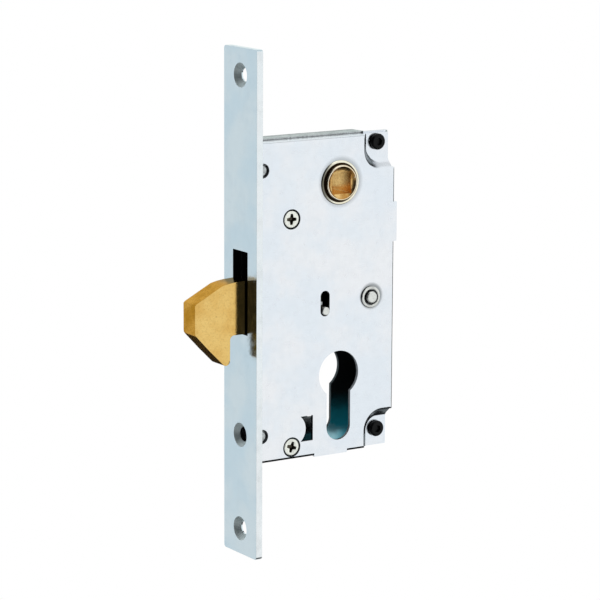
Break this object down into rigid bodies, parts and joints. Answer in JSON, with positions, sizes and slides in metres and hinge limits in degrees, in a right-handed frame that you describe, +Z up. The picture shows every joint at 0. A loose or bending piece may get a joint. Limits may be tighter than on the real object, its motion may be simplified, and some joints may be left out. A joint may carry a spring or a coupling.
{
  "type": "mortise lock",
  "caption": "Hook-bolt mortise lock for a sliding gate: long faceplate with a brass hook, flat zinc case with square follower and profile-cylinder hole, and its lifting works inside.",
  "frame": {"origin": "on the back of the faceplate, on its centre line, in the bare strip between the case top and the upper fixing hole", "axes": "+X into the door, square to the faceplate; +Y across the lock, away from the removable cover; +Z up along the faceplate"},
  "size_m": [0.0833, 0.022, 0.183],
  "materials": {
    "zinc_sheet": "bright zinc-plated steel sheet",
    "zinc_faceplate": "bright zinc-plated steel strip, bluish",
    "zinc_fixings": "zinc-plated screws, rivets and collar",
    "black_oxide": "black-finished socket screws",
    "plain_steel": "bright drawn steel",
    "works_steel": "dark oiled pressed steel",
    "brass": "satin brass, brushed",
    "spring_wire": "spring steel wire"
  },
  "bodies": {
    "case": {"case_cover": "zinc_sheet", "case_shell": "zinc_sheet", "faceplate": "zinc_faceplate", "cover_screw_upper": "zinc_fixings", "cover_screw_lower": "zinc_fixings", "forend_rivet_top": "zinc_fixings", "pivot_collar": "zinc_fixings", "screw_guide_tube": "zinc_fixings", "corner_screw_upper": "black_oxide", "corner_screw_lower": "black_oxide", "forend_bracket_top": "plain_steel", "forend_bracket_bottom": "plain_steel", "cover_pillar_upper": "plain_steel", "cover_pillar_lower": "plain_steel", "corner_nut_upper": "plain_steel", "corner_nut_lower": "plain_steel", "hook_pivot_post": "plain_steel", "pivot_washer_near": "plain_steel", "pivot_washer_far": "plain_steel", "slide_guide_lower": "plain_steel", "slide_guide_upper": "plain_steel", "lever_pivot": "plain_steel", "lever_spacer_near": "plain_steel", "lever_spacer_far": "plain_steel", "pawl_stud": "plain_steel", "hook_spring_seat": "plain_steel", "hub_spring_seat": "plain_steel", "hook_guide_near": "works_steel", "hook_guide_far": "works_steel", "hook_spring": "spring_wire", "hub_spring": "spring_wire"},
    "hook": {"hook_bolt": "brass", "guide_pin": "plain_steel", "lift_pin": "plain_steel", "hook_bushing": "plain_steel"},
    "follower": {"follower_hub": "brass", "follower_cam": "works_steel", "cam_drive_pin": "plain_steel"},
    "slide": {"slide_cheek_near": "works_steel", "slide_cheek_far": "works_steel", "slide_spacer": "plain_steel"},
    "lever": {"key_lever": "works_steel"},
    "pawl": {"detent_pawl": "plain_steel"}
  },
  "joints": [
    {"name": "hook_lift", "type": "hinge", "parent": "case", "child": "hook", "pos_m": [0.0485, 0, -0.07], "axis": [0, 1, 0], "range_deg": [0, 10.4], "stiffness_Nm_per_rad": 0.8, "springref_deg": -17.19, "deforming": ["hook_spring"]},
    {"name": "follower_turn", "type": "hinge", "parent": "case", "child": "follower", "pos_m": [0.035, 0, -0.027], "axis": [0, 1, 0], "range_deg": [0, 20.5], "deforming": ["hub_spring"]},
    {"name": "slide_lift", "type": "slide", "parent": "case", "child": "slide", "axis": [0, 0, 1], "range_m": [0, 0.00444]},
    {"name": "lever_lift", "type": "hinge", "parent": "case", "child": "lever", "pos_m": [0.0535, 0, -0.0875], "axis": [0, 1, 0], "range_deg": [0, 9]},
    {"name": "pawl_swing", "type": "hinge", "parent": "case", "child": "pawl", "pos_m": [0.0175, 0, -0.068], "axis": [0, 1, 0], "range_deg": [-20.1, 0]}
  ],
  "couplings": [
    {"joint": "follower_turn", "follows": "hook_lift", "ratio": 1.97},
    {"joint": "slide_lift", "follows": "hook_lift", "m_per_rad": 0.0244},
    {"joint": "lever_lift", "follows": "hook_lift", "ratio": 0.865},
    {"joint": "pawl_swing", "follows": "hook_lift", "ratio": -1.93}
  ]
}
